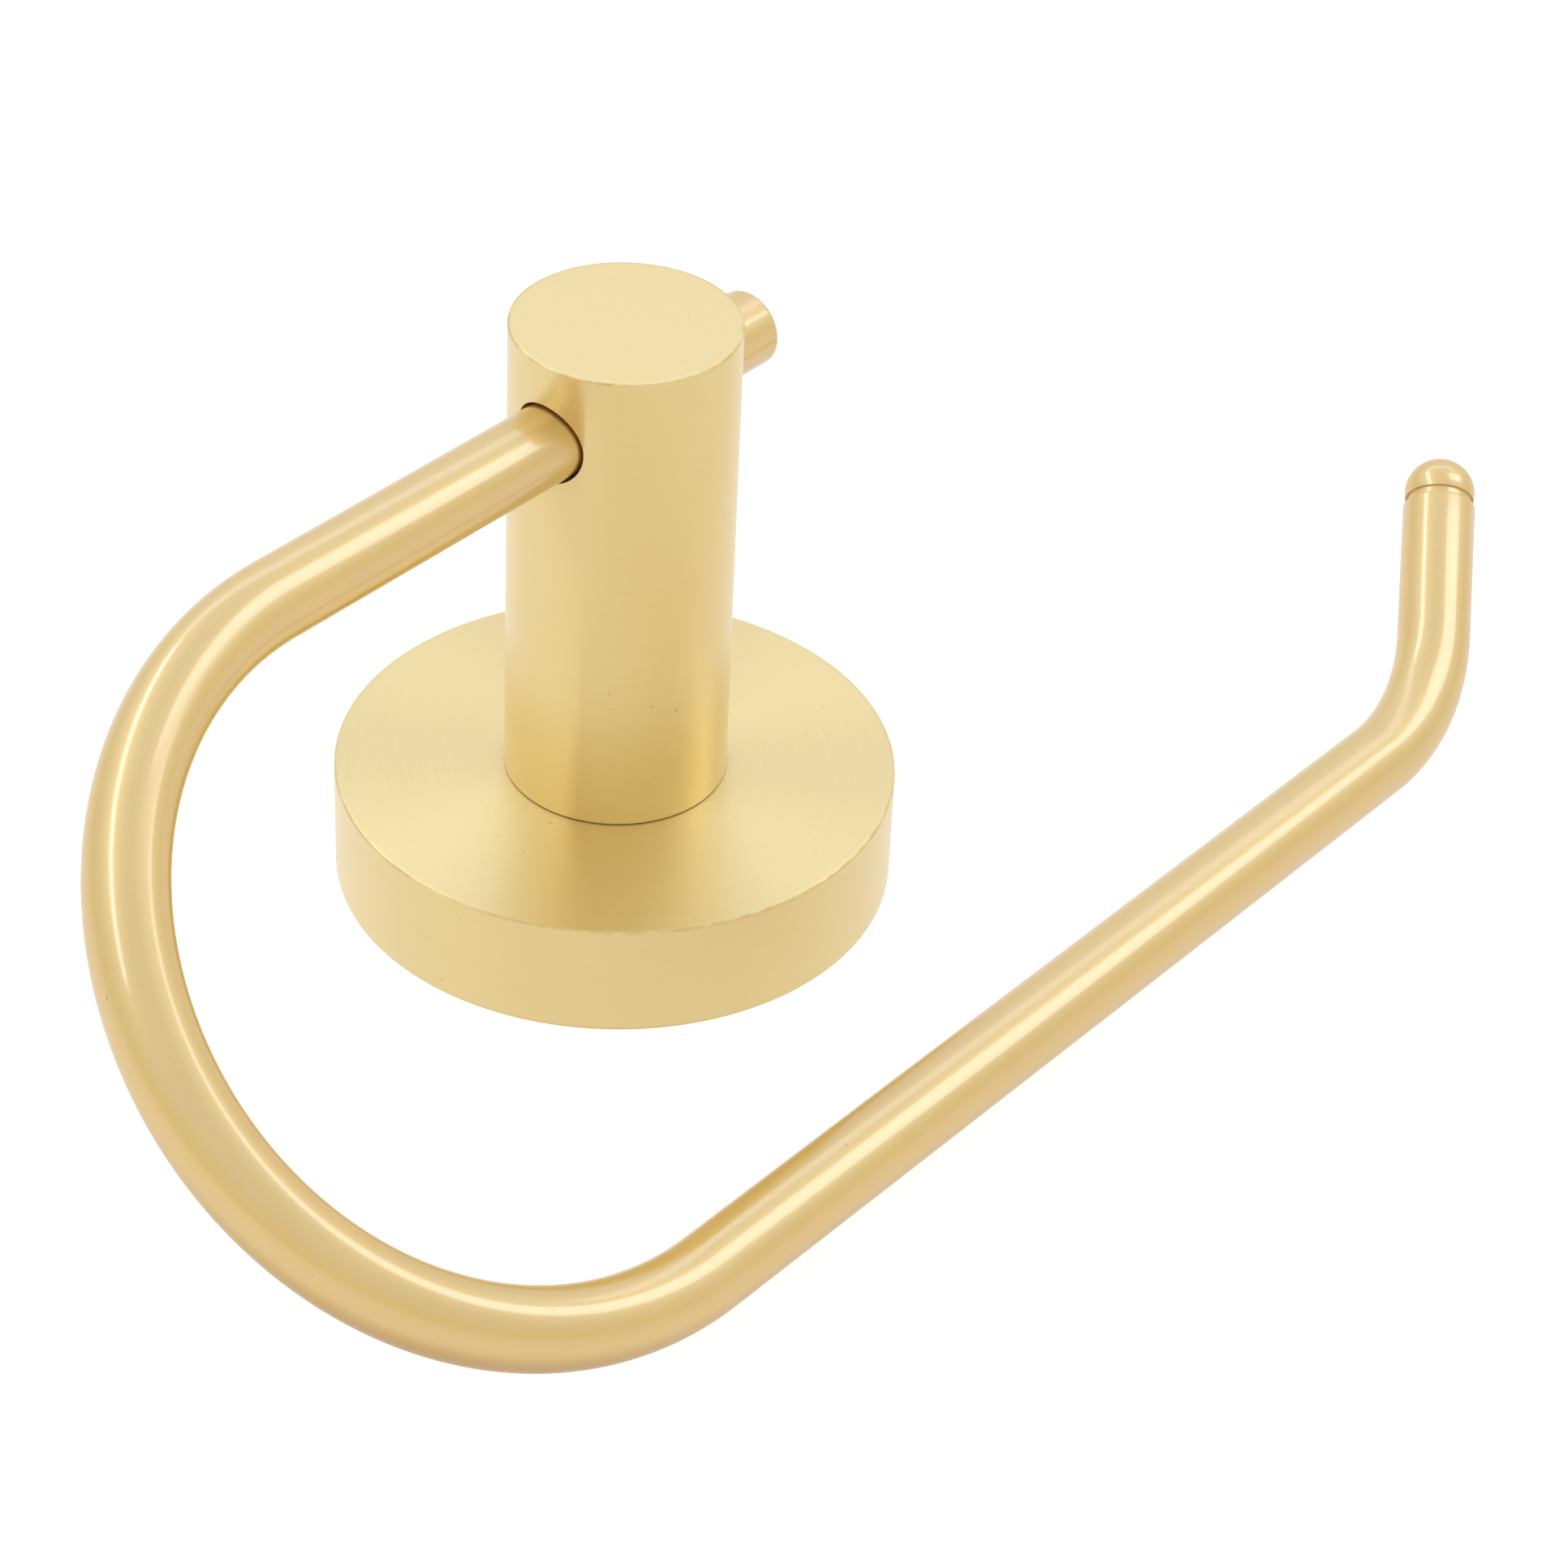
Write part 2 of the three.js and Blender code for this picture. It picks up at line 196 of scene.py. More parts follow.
def add_softbox(name, azimuth, elevation, size, radiance):
    """A softbox that faces the holder."""
    azimuth, elevation = math.radians(azimuth), math.radians(elevation)
    way = Vector((math.cos(azimuth) * math.cos(elevation), math.sin(azimuth) * math.cos(elevation),
                  math.sin(elevation)))
    light = bpy.data.lights.new(name, "AREA")
    light.shape = "RECTANGLE"
    light.size, light.size_y = size
    light.energy = radiance * math.pi * size[0] * size[1]
    light.color = linear(SOFTBOX_WHITE)[:3]
    softbox = bpy.data.objects.new(name, light)
    bpy.context.scene.collection.objects.link(softbox)
    facing = (-way).to_track_quat("-Z", "Y").to_matrix().to_4x4()
    softbox.matrix_world = Matrix.Translation(way * SOFTBOX_DISTANCE) @ facing


place_camera()
lay_table()
pitch_tent()
for softbox in SOFTBOXES:
    add_softbox(*softbox)
bpy.context.scene.view_settings.view_transform = "Standard"

# --- Wall bracket ---------------------------------------------------------------------------------
# Dished plate of zinc-plated steel that is screwed to the wall through its two slots. Its straight
# edge is where the rosette's grub screw bears.

bracket_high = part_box("wall_bracket")[1]
BRACKET_FLOOR = 3.0 * MM
BRACKET_RECESS_RADIUS = 19 * MM
BRACKET_EDGE_ROUND = 0.4 * MM
WALL_SLOT_WIDTH = 5 * MM
WALL_SLOT_LENGTH = 8.5 * MM
WALL_SLOT_OFFSET = 13.2 * MM
TURNED_STEPS = 256
SMALL_STEPS = 64
WELD = 0.001 * MM
EDGE_BAND = 0.5 * MM
SHARP_EDGE = math.radians(25)
ZINC_DULL = "#A9ADB1"
ZINC_BRIGHT = "#C6C8CA"
ZINC_ROUGHNESS = (0.34, 0.52)
ZINC_BLOOMS_PER_METRE = 220.0


def turned(outline, steps=TURNED_STEPS):
    """A solid spun about Z from a [radius, height] outline, closed or with both ends on the axis."""
    shape = bmesh.new()
    corners = [shape.verts.new((radius, 0, height)) for radius, height in outline]
    pairs = list(zip(corners, corners[1:]))
    if outline[0][0] > 0:
        pairs.append((corners[-1], corners[0]))
    edges = [shape.edges.new(pair) for pair in pairs]
    bmesh.ops.spin(shape, geom=corners + edges, cent=(0, 0, 0), axis=(0, 0, 1), dvec=(0, 0, 0),
                   angle=2 * math.pi, steps=steps, use_merge=True, use_duplicate=False)
    bmesh.ops.remove_doubles(shape, verts=shape.verts[:], dist=WELD)
    bmesh.ops.recalc_face_normals(shape, faces=shape.faces[:])
    return shape


def round_edges(shape, width, chosen, segments=3):
    """Rounds the sharp edges that chosen(edge's two ends) picks."""
    sharp = [e for e in shape.edges if len(e.link_faces) == 2 and e.calc_face_angle() > SHARP_EDGE]
    picked = [e for e in sharp if chosen(*[v.co for v in e.verts])]
    bmesh.ops.bevel(shape, geom=picked, offset=width, offset_type="OFFSET", affect="EDGES",
                    segments=segments, profile=0.5, material=-1, clamp_overlap=True)


def rod_shape(radius, start, end, steps=SMALL_STEPS):
    """A plain closed bar between two points."""
    shape = bmesh.new()
    start, end = Vector(start), Vector(end)
    along = (end - start).to_track_quat("Z", "Y").to_matrix().to_4x4()
    bmesh.ops.create_cone(shape, cap_ends=True, cap_tris=False, segments=steps, radius1=radius,
                          radius2=radius, depth=(end - start).length,
                          matrix=Matrix.Translation((start + end) / 2) @ along)
    return shape


def carve(shape, *cutters):
    """Cuts the cutters out of the shape, and frees them."""
    def stand_in(source):
        mesh = bpy.data.meshes.new("carving")
        source.to_mesh(mesh)
        source.free()
        thing = bpy.data.objects.new("carving", mesh)
        bpy.context.scene.collection.objects.link(thing)
        return thing

    block = stand_in(shape)
    tools = [stand_in(cutter) for cutter in cutters]
    for tool in tools:
        cut = block.modifiers.new("cut", "BOOLEAN")
        cut.operation = "DIFFERENCE"
        cut.solver = "EXACT"
        cut.object = tool
    bpy.context.view_layer.update()
    result = bmesh.new()
    result.from_object(block, bpy.context.evaluated_depsgraph_get())
    for thing in [block, *tools]:
        mesh = thing.data
        bpy.data.objects.remove(thing)
        bpy.data.meshes.remove(mesh)
    bmesh.ops.remove_doubles(result, verts=result.verts[:], dist=WELD)
    return result


def finish_piece(name, shape, material, body, sharp_above=30):
    """Makes the piece an object in its final place, riding on its body."""
    mesh = bpy.data.meshes.new(name)
    shape.to_mesh(mesh)
    shape.free()
    mesh.shade_smooth()
    mesh.set_sharp_from_angle(angle=math.radians(sharp_above))
    mesh.materials.append(material)
    piece = bpy.data.objects.new(name, mesh)
    bpy.context.scene.collection.objects.link(piece)
    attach(piece, body)
    return piece


def zinc_plated_steel():
    """Pressed steel under dull bright zinc: grey with a faint cloudy bloom."""
    material, tree, out = new_material("zinc-plated steel")
    place = add_node(tree, "ShaderNodeTexCoord").outputs["Object"]
    bloom = add_node(tree, "ShaderNodeTexNoise", {
        "Vector": place, "Scale": ZINC_BLOOMS_PER_METRE, "Detail": 4.0})
    tone = add_node(tree, "ShaderNodeMix", {
        "Factor": bloom.outputs["Fac"], "A": linear(ZINC_DULL), "B": linear(ZINC_BRIGHT)}, data_type="RGBA")
    rough = add_node(tree, "ShaderNodeMapRange", {
        "Value": bloom.outputs["Fac"], "To Min": ZINC_ROUGHNESS[0], "To Max": ZINC_ROUGHNESS[1]})
    metal = add_node(tree, "ShaderNodeBsdfPrincipled", {
        "Base Color": tone.outputs["Result"], "Metallic": 1.0, "Roughness": rough.outputs["Result"]})
    tree.links.new(metal.outputs[0], out.inputs["Surface"])
    return material


def make_bracket():
    radius = bracket_high.x
    height = bracket_high.z
    plate = turned([
        (0, 0), (radius, 0), (radius, height), (BRACKET_RECESS_RADIUS, height),
        (BRACKET_RECESS_RADIUS, BRACKET_FLOOR), (0, BRACKET_FLOOR)])
    round_edges(plate, BRACKET_EDGE_ROUND, lambda a, b: min(a.z, b.z) > height - WELD)
    beyond = bmesh.new()
    bmesh.ops.create_cube(beyond, size=2 * radius,
                          matrix=Matrix.Translation((0, bracket_high.y + radius, 0)))
    slots = []
    for side in (1, -1):
        slot = bmesh.new()
        bmesh.ops.create_circle(slot, cap_ends=True, segments=SMALL_STEPS, radius=WALL_SLOT_WIDTH / 2)
        stretch = (WALL_SLOT_LENGTH - WALL_SLOT_WIDTH) / 2
        for corner in slot.verts:
            corner.co.y += math.copysign(stretch, corner.co.y)
            corner.co.z = -BRACKET_FLOOR
        deep = bmesh.ops.extrude_face_region(slot, geom=slot.faces[:])
        raised = [v for v in deep["geom"] if isinstance(v, bmesh.types.BMVert)]
        bmesh.ops.translate(slot, verts=raised, vec=(0, 0, 3 * BRACKET_FLOOR))
        bmesh.ops.translate(slot, verts=slot.verts[:], vec=(side * WALL_SLOT_OFFSET, 0, 0))
        bmesh.ops.recalc_face_normals(slot, faces=slot.faces[:])
        slots.append(slot)
    plate = carve(plate, beyond, *slots)
    piece = finish_piece("mounting_plate", plate, zinc_plated_steel(), "bracket")
    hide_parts("wall_bracket")


make_bracket()

# --- Rosette --------------------------------------------------------------------------------------
# Shallow cup turned from brass, which covers the bracket. Its face and rim are brushed in the lathe,
# so the lines run round it, and a grub screw in its rim holds it on the bracket.

rosette_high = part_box("rosette")[1]
ROSETTE_RIM_WALL = 3 * MM
ROSETTE_FACE_WALL = 2.6 * MM
ROSETTE_HOLE_RADIUS = 6.3 * MM
ROSETTE_EDGE_ROUND = 0.3 * MM
GRUB_HOLE_RADIUS = 2.3 * MM
bracket_mid_height = bracket_high.z / 2

BRASS = "#EAD38E"
BRASS_LIGHT = "#F1DC9B"
BRUSH_PITCH = 0.2 * MM
BRUSH_ARC = 0.45
BRUSH_DEPTH = 0.004 * MM
BRUSH_PULL = 0.82
BRUSH_TURN = 0.25
BRUSHED_ROUGHNESS = (0.33, 0.38)
BRUSH_ROUGHENING = 0.06
CLOUDS_PER_METRE = 90.0
LACQUER_IOR = 1.6
LACQUER_ROUGHNESS = 0.3
WORN_BRASS = "#C6A25C"
EDGE_WEAR_WIDTH = 0.35 * MM
RUBBED_SPOTS_PER_METRE = 400.0
RUBBED_BAND = (0.42, 0.62)
RUBBED_STRENGTH = 0.7
PIT_BROWN = "#94703C"
PIT_SPACING = 0.6 * MM
PIT_BAND = (0.86, 0.9)
PIT_STRENGTH = 0.4


def add_pits(tree, place, tone):
    """Tiny brown pits, here and there, in a tone."""
    spots = add_node(tree, "ShaderNodeTexNoise", {"Vector": place, "Scale": 1 / PIT_SPACING, "Detail": 0.0})
    pits = add_node(tree, "ShaderNodeMapRange", {
        "Value": spots.outputs["Fac"], "From Min": PIT_BAND[0], "From Max": PIT_BAND[1],
        "To Max": PIT_STRENGTH})
    pitted = add_node(tree, "ShaderNodeMix", {
        "Factor": pits.outputs["Result"], "A": tone, "B": linear(PIT_BROWN)}, data_type="RGBA")
    return pitted.outputs["Result"]


def turned_brushed_brass(name, pull, line_depth, edge_radius, edge_height):
    """Lacquered brass brushed in the lathe: fine lines round the axis, which pull each reflection out
    across them, so that the flat face shows soft light and dark wedges. Lines a tenth of a millimetre
    apart would not show, so they are drawn twice as coarse. The outer edge is a little rubbed."""
    material, tree, out = new_material(name)
    place = add_node(tree, "ShaderNodeTexCoord").outputs["Object"]
    parts = add_node(tree, "ShaderNodeSeparateXYZ", {"Vector": place})
    flat = add_node(tree, "ShaderNodeCombineXYZ", {"X": parts.outputs["X"], "Y": parts.outputs["Y"]})
    radius = add_node(tree, "ShaderNodeVectorMath", {0: flat.outputs[0]}, operation="LENGTH")
    across = add_node(tree, "ShaderNodeMath", {
        0: radius.outputs["Value"], 1: parts.outputs["Z"]}, operation="ADD")
    lines = add_node(tree, "ShaderNodeMath", {
        0: across.outputs[0], 1: 1 / BRUSH_PITCH}, operation="MULTIPLY")
    turn = add_node(tree, "ShaderNodeVectorMath", {0: flat.outputs[0]}, operation="NORMALIZE")
    arc = add_node(tree, "ShaderNodeVectorMath", {
        0: turn.outputs["Vector"], "Scale": 1 / BRUSH_ARC}, operation="SCALE")
    round_parts = add_node(tree, "ShaderNodeSeparateXYZ", {"Vector": arc.outputs["Vector"]})
    unrolled = add_node(tree, "ShaderNodeCombineXYZ", {
        "X": lines.outputs[0], "Y": round_parts.outputs["X"], "Z": round_parts.outputs["Y"]})
    brushing = add_node(tree, "ShaderNodeTexNoise", {
        "Vector": unrolled.outputs[0], "Scale": 1.0, "Detail": 3.0, "Roughness": 0.6})
    cloud = add_node(tree, "ShaderNodeTexNoise", {
        "Vector": place, "Scale": CLOUDS_PER_METRE, "Detail": 2.0})
    tone = add_node(tree, "ShaderNodeMix", {
        "Factor": brushing.outputs["Fac"], "A": linear(BRASS), "B": linear(BRASS_LIGHT)}, data_type="RGBA")
    section = add_node(tree, "ShaderNodeCombineXYZ", {
        "X": radius.outputs["Value"], "Y": parts.outputs["Z"]})
    from_edge = add_node(tree, "ShaderNodeVectorMath", {
        0: section.outputs[0], 1: (edge_radius, edge_height, 0)}, operation="DISTANCE")
    near_edge = add_node(tree, "ShaderNodeMapRange", {
        "Value": from_edge.outputs["Value"], "From Min": EDGE_WEAR_WIDTH, "From Max": 0.0})
    rubbed = add_node(tree, "ShaderNodeTexNoise", {
        "Vector": place, "Scale": RUBBED_SPOTS_PER_METRE, "Detail": 3.0})
    rubbing = add_node(tree, "ShaderNodeMapRange", {
        "Value": rubbed.outputs["Fac"], "From Min": RUBBED_BAND[0], "From Max": RUBBED_BAND[1],
        "To Max": RUBBED_STRENGTH})
    edge_wear = add_node(tree, "ShaderNodeMath", {
        0: near_edge.outputs["Result"], 1: rubbing.outputs["Result"]}, operation="MULTIPLY")
    edged = add_node(tree, "ShaderNodeMix", {
        "Factor": edge_wear.outputs[0], "A": tone.outputs["Result"], "B": linear(WORN_BRASS)},
        data_type="RGBA")
    colour = add_pits(tree, place, edged.outputs["Result"])
    worn = add_node(tree, "ShaderNodeMapRange", {
        "Value": cloud.outputs["Fac"], "To Min": BRUSHED_ROUGHNESS[0], "To Max": BRUSHED_ROUGHNESS[1]})
    rough = add_node(tree, "ShaderNodeMath", {
        0: brushing.outputs["Fac"], 1: BRUSH_ROUGHENING, 2: worn.outputs["Result"]},
        operation="MULTIPLY_ADD")
    relief = add_node(tree, "ShaderNodeBump", {
        "Height": brushing.outputs["Fac"], "Strength": 1.0, "Distance": line_depth})
    tangent = add_node(tree, "ShaderNodeTangent", direction_type="RADIAL", axis="Z")
    metal = add_node(tree, "ShaderNodeBsdfPrincipled", {
        "Base Color": colour, "Metallic": 1.0, "Roughness": rough.outputs[0],
        "Anisotropic": pull, "Anisotropic Rotation": BRUSH_TURN, "Tangent": tangent.outputs[0],
        "Normal": relief.outputs[0], "Coat Weight": 1.0, "Coat Roughness": LACQUER_ROUGHNESS,
        "Coat IOR": LACQUER_IOR})
    tree.links.new(metal.outputs[0], out.inputs["Surface"])
    return material


rosette_brass = turned_brushed_brass(
    "lathe-brushed rosette brass", BRUSH_PULL, BRUSH_DEPTH, rosette_high.x, rosette_high.z)


def make_rosette():
    outer = rosette_high.x
    inner = outer - ROSETTE_RIM_WALL
    top = rosette_high.z
    ceiling = top - ROSETTE_FACE_WALL
    cup = turned([
        (inner, 0), (outer - EDGE_BAND, 0), (outer, 0), (outer, EDGE_BAND), (outer, top - EDGE_BAND),
        (outer, top), (outer - EDGE_BAND, top), (ROSETTE_HOLE_RADIUS, top),
        (ROSETTE_HOLE_RADIUS, ceiling), (inner, ceiling)])
    round_edges(cup, ROSETTE_EDGE_ROUND, lambda a, b: min(a.xy.length, b.xy.length) > outer - WELD)
    grub_hole = rod_shape(GRUB_HOLE_RADIUS, (0, inner - MM, bracket_mid_height),
                          (0, outer + MM, bracket_mid_height))
    cup = carve(cup, grub_hole)
    piece = finish_piece("rosette_cup", cup, rosette_brass, "holder")
    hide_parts("rosette")


make_rosette()

# --- Post -----------------------------------------------------------------------------------------
# Solid brass bar, turned and brushed round like the rosette. A spigot centres its foot in the
# rosette, the rod runs through its cross hole, and a grub screw from the side clamps the rod.

post_low, post_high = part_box("post")
swing = next(joint for joint in frame["joints"] if joint["name"] == "hook_swing")
rod_axis_height = swing["pos_m"][2]
JOINT_LINE = 0.09 * MM
POST_SPIGOT_RADIUS = 6 * MM
POST_EDGE_ROUND = 0.14 * MM
POST_FOOT_ROUND = 0.12 * MM
POST_TAPPED_RADIUS = 3.3 * MM
POST_TAPPED_DEPTH = 15 * MM
ROD_RADIUS = 4 * MM
ROD_CLEARANCE = 0.3 * MM
ROD_HOLE_ROUND = 0.12 * MM
ROD_HOLE_STEPS = 96
ROD_HOLE_SLACK = 0.01 * MM
POST_STEPS = 384
FACED_LINE_DEPTH = 0.001 * MM
FACED_FINISH = 1
DRILLED_FINISH = 2
DRILLED_BROWN = "#9A6C38"
DRILLED_LIGHT = "#D2A462"
DRILLED_METALLIC = 0.2
DRILLED_ROUGHNESS = 0.6
STAINS_PER_METRE = 700.0


def drilled_brass():
    """Brass as the drill left it, without lacquer: it has gone dull brown inside the holes."""
    material, tree, out = new_material("drilled brass")
    place = add_node(tree, "ShaderNodeTexCoord").outputs["Object"]
    stain = add_node(tree, "ShaderNodeTexNoise", {
        "Vector": place, "Scale": STAINS_PER_METRE, "Detail": 3.0})
    tone = add_node(tree, "ShaderNodeMix", {
        "Factor": stain.outputs["Fac"], "A": linear(DRILLED_BROWN), "B": linear(DRILLED_LIGHT)},
        data_type="RGBA")
    metal = add_node(tree, "ShaderNodeBsdfPrincipled", {
        "Base Color": tone.outputs["Result"], "Metallic": DRILLED_METALLIC,
        "Roughness": DRILLED_ROUGHNESS})
    tree.links.new(metal.outputs[0], out.inputs["Surface"])
    return material


def make_post():
    radius = post_high.x
    top = post_high.z
    foot = rosette_high.z + JOINT_LINE
    rod_hole_radius = ROD_RADIUS + ROD_CLEARANCE

    def from_rod_axis(point):
        return math.hypot(point.y, point.z - rod_axis_height)

    def at_foot(a, b):
        return max(a.z, b.z) < foot + WELD and a.xy.length > radius - WELD

    def at_rod_hole(a, b):
        outermost = max(from_rod_axis(a), from_rod_axis(b))
        return outermost < rod_hole_radius + WELD and min(a.xy.length, b.xy.length) > radius - ROD_HOLE_SLACK

    bar = turned([
        (0, post_low.z), (POST_SPIGOT_RADIUS, post_low.z), (POST_SPIGOT_RADIUS, foot),
        (radius - EDGE_BAND, foot), (radius, foot), (radius, foot + EDGE_BAND), (radius, top - EDGE_BAND),
        (radius, top), (radius - EDGE_BAND, top), (0, top)], POST_STEPS)
    round_edges(bar, POST_EDGE_ROUND, lambda a, b: min(a.z, b.z) > top - WELD)
    round_edges(bar, POST_FOOT_ROUND, at_foot)
    tapped = rod_shape(POST_TAPPED_RADIUS, (0, 0, 0), (0, 0, post_low.z + POST_TAPPED_DEPTH))
    rod_hole = rod_shape(rod_hole_radius, (-2 * radius, 0, rod_axis_height),
                         (2 * radius, 0, rod_axis_height), ROD_HOLE_STEPS)
    grub_hole = rod_shape(GRUB_HOLE_RADIUS, (0, 0, rod_axis_height), (0, 2 * radius, rod_axis_height))
    bar = carve(bar, tapped, rod_hole, grub_hole)
    round_edges(bar, ROD_HOLE_ROUND, at_rod_hole)
    for face in bar.faces:
        middle = face.calc_center_median()
        if middle.z > top - WELD:
            face.material_index = FACED_FINISH
        elif from_rod_axis(middle) < rod_hole_radius + WELD or middle.xy.length < POST_SPIGOT_RADIUS + WELD:
            face.material_index = DRILLED_FINISH
    side_brass = turned_brushed_brass("lathe-brushed post brass", BRUSH_PULL, BRUSH_DEPTH, radius, top)
    piece = finish_piece("post_bar", bar, side_brass, "holder")
    piece.data.materials.append(turned_brushed_brass("faced brass", 0.0, FACED_LINE_DEPTH, radius, top))
    piece.data.materials.append(drilled_brass())
    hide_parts("post")


make_post()

# --- Hanger rod -----------------------------------------------------------------------------------
# One length of 8 mm brass bar, bent in one plane: a half circle at the closed end and a shorter bend
# that lifts the tip, so that the roll can't slide off. It passes through the post and can be swung.

ROD_SHORT_END = 19.2 * MM
ROD_LEAD = 48.5 * MM
BEND_RADIUS = 37 * MM
ARM_LENGTH = 109.3 * MM
ARM_REST_HEIGHT = 7.5 * MM
TIP_BEND_RADIUS = 26.5 * MM
TIP_BEND = math.radians(43.3)
TIP_STRAIGHT = 16 * MM
ROD_STEPS = 64
HALF_TURN_STEPS = 120
TIP_BEND_STEPS = 40
SHORT_END_ROUND = 0.7 * MM
TIP_END_ROUND = 0.25 * MM
TIP_PLUG_RADIUS = 2 * MM
TIP_PLUG_LENGTH = 8 * MM
TIP_FIT = 0.3 * MM
BAR_BRASS = "#DEBE6D"
BAR_BRASS_LIGHT = "#E5C574"
BAR_CLOUDS_PER_METRE = 130.0
HAIRLINES_PER_METRE = (60.0, 2600.0, 2600.0)
HAIRLINE_DEPTH = 0.0012 * MM
HAIRLINE_ROUGHENING = 0.05
SATIN_ROUGHNESS = (0.41, 0.46)
ROD_LACQUER_IOR = 2.2
ROD_LACQUER_ROUGHNESS = 0.13
ROD_SHARP_ABOVE = 40

arm_end = ARM_LENGTH - ROD_LEAD
tip_way = Vector((math.cos(TIP_BEND), math.sin(TIP_BEND), 0))
tip_bend_centre = Vector((arm_end, TIP_BEND_RADIUS - 2 * BEND_RADIUS, 0))
rod_end = tip_bend_centre + TIP_BEND_RADIUS * Vector((tip_way.y, -tip_way.x, 0)) + TIP_STRAIGHT * tip_way
hook_drop = math.asin((rod_axis_height - ARM_REST_HEIGHT) / (2 * BEND_RADIUS))
hook_place = Matrix.Translation((0, 0, rod_axis_height)) @ Matrix.Rotation(hook_drop, 4, "X")


def bar_place(point):
    """Where a point of the bent rod was on the straight bar: the distance along it, then across it."""
    x, y, z = point
    bend = Vector((-ROD_LEAD, -BEND_RADIUS, 0))
    lead_end = ROD_SHORT_END + ROD_LEAD
    arm_start = lead_end + math.pi * BEND_RADIUS
    if x < bend.x:
        away = math.atan2(bend.x - x, y - bend.y)
        return lead_end + away * BEND_RADIUS, math.hypot(x - bend.x, y - bend.y) - BEND_RADIUS, z
    if y > bend.y and x < ROD_SHORT_END + ROD_RADIUS:
        return ROD_SHORT_END - x, y, z
    if x < arm_end:
        return arm_start + x - bend.x, -2 * BEND_RADIUS - y, z
    tip = Vector(point) - tip_bend_centre
    away = math.atan2(tip.x, -tip.y)
    if away < TIP_BEND:
        return arm_start + ARM_LENGTH + away * TIP_BEND_RADIUS, tip.xy.length - TIP_BEND_RADIUS, z
    along = tip.dot(tip_way)
    out = tip.dot(Vector((tip_way.y, -tip_way.x, 0))) - TIP_BEND_RADIUS
    return arm_start + ARM_LENGTH + TIP_BEND * TIP_BEND_RADIUS + along, out, z


def satin_brass():
    """Lacquered brass bar with a fine satin polish along it: long soft highlights, faint hairlines
    along the bar and a few tiny pits. A polishing belt's lines are finer than those drawn here."""
    material, tree, out = new_material("satin-polished brass")
    bar = add_node(tree, "ShaderNodeAttribute", attribute_name="bar").outputs["Vector"]
    grain_place = add_node(tree, "ShaderNodeMapping", {
        "Vector": bar, "Scale": HAIRLINES_PER_METRE}, vector_type="POINT")
    hairlines = add_node(tree, "ShaderNodeTexNoise", {
        "Vector": grain_place.outputs[0], "Scale": 1.0, "Detail": 3.0, "Roughness": 0.55})
    cloud = add_node(tree, "ShaderNodeTexNoise", {
        "Vector": bar, "Scale": BAR_CLOUDS_PER_METRE, "Detail": 3.0})
    tone = add_node(tree, "ShaderNodeMix", {
        "Factor": cloud.outputs["Fac"], "A": linear(BAR_BRASS), "B": linear(BAR_BRASS_LIGHT)},
        data_type="RGBA")
    worn = add_node(tree, "ShaderNodeMapRange", {
        "Value": cloud.outputs["Fac"], "To Min": SATIN_ROUGHNESS[0], "To Max": SATIN_ROUGHNESS[1]})
    rough = add_node(tree, "ShaderNodeMath", {
        0: hairlines.outputs["Fac"], 1: HAIRLINE_ROUGHENING, 2: worn.outputs["Result"]},
        operation="MULTIPLY_ADD")
    relief = add_node(tree, "ShaderNodeBump", {
        "Height": hairlines.outputs["Fac"], "Strength": 1.0, "Distance": HAIRLINE_DEPTH})
    metal = add_node(tree, "ShaderNodeBsdfPrincipled", {
        "Base Color": add_pits(tree, bar, tone.outputs["Result"]), "Metallic": 1.0,
        "Roughness": rough.outputs[0], "Normal": relief.outputs[0], "Coat Weight": 1.0,
        "Coat Roughness": ROD_LACQUER_ROUGHNESS, "Coat IOR": ROD_LACQUER_IOR})
    tree.links.new(metal.outputs[0], out.inputs["Surface"])
    return material


satin_rod_brass = satin_brass()


def mark_bar_place(shape, place_on_bar):
    """Keeps each point's place on the straight bar, which the satin finish follows."""
    layer = shape.verts.layers.float_vector.new("bar")
    for corner in shape.verts:
        corner[layer] = place_on_bar(corner.co)


